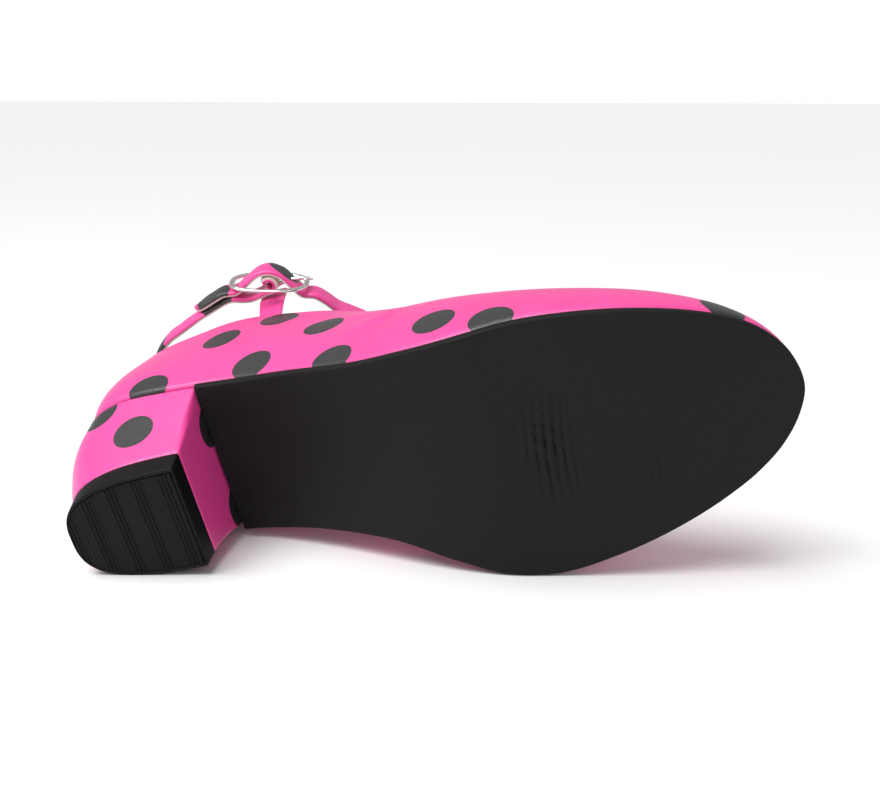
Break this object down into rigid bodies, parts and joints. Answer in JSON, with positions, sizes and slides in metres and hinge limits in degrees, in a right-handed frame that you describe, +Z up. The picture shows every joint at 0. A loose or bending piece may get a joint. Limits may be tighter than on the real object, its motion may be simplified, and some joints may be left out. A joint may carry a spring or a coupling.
{
  "type": "flamenco shoe",
  "caption": "Child's right flamenco shoe with polka dots, covered block heel and buckled ankle strap, lying on its inner side.",
  "frame": {"origin": "bottom centre of the bounding box, on the floor that the shoe lies on", "axes": "+X along the shoe to the toe, +Y from the sole to the collar, +Z up, away from the floor"},
  "size_m": [0.2058, 0.1084, 0.0818],
  "materials": {
    "dotted_upper": "glossy grained pink with black polka dots",
    "heel_cover": "glossy grained pink with black polka dots",
    "strap_cover": "glossy grained pink with black polka dots",
    "sole_rubber": "matt",
    "lift_rubber": "matt, ribbed",
    "sock_lining": "smooth cream lining",
    "buckle_metal": "bright nickel"
  },
  "bodies": {
    "root": {"upper": "dotted_upper", "outsole": "sole_rubber", "insole": "sock_lining", "heel": "heel_cover", "heel_lift": "lift_rubber", "ankle_strap": "strap_cover", "strap_tab_lateral": "strap_cover", "strap_loop_medial": "strap_cover", "buckle_frame": "buckle_metal", "buckle_prong": "buckle_metal"}
  },
  "joints": []
}
